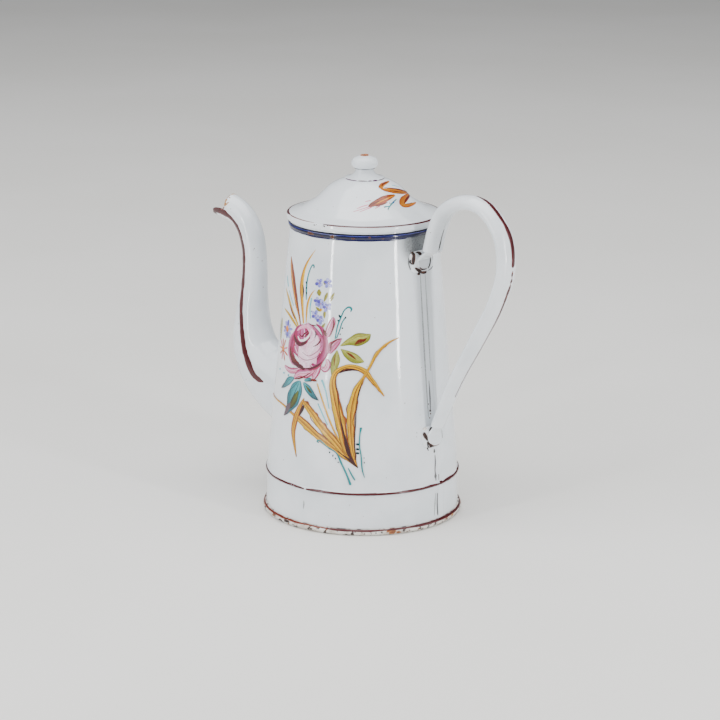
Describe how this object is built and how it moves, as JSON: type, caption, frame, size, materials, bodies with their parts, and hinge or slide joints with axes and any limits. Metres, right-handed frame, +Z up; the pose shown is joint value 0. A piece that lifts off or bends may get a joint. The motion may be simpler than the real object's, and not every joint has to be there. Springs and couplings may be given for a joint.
{
  "type": "enamel coffee pot",
  "caption": "Tapered enamelled sheet-steel coffee pot with a gooseneck spout, a looped tube handle on two tabs and a loose lift-off lid with a knob.",
  "frame": {"origin": "under the middle of the whole pot, spout and handle included, on the surface that it stands on", "axes": "+X towards the spout, -X towards the handle, +Z up; the plane Y = 0 runs through the middle of the spout and the handle"},
  "size_m": [0.2816, 0.1446, 0.2593],
  "materials": {
    "white_enamel": "glossy off-white vitreous enamel on sheet steel, chipped at edges",
    "blue_enamel": "glossy dark blue vitreous enamel, chipped and dulled",
    "worn_enamel": "off-white enamel worn to dark and rusty specks",
    "rusty_steel": "bare steel stud head with orange rust"
  },
  "bodies": {
    "pot": {"foot_bead": "worn_enamel", "foot_band": "white_enamel", "bottom_plate": "white_enamel", "body_shell": "white_enamel", "mouth_bead": "blue_enamel", "spout_left_half": "white_enamel", "spout_right_half": "white_enamel", "handle_tube": "white_enamel", "handle_upper_tab": "white_enamel", "handle_lower_tab": "white_enamel"},
    "lid": {"lid_shell": "white_enamel", "lid_collar": "white_enamel", "lid_knob": "white_enamel", "knob_stud": "rusty_steel"}
  },
  "joints": [
    {"name": "lid_lift", "type": "slide", "parent": "pot", "child": "lid", "axis": [0, 0, 1], "range_m": [0, 0.06]}
  ]
}
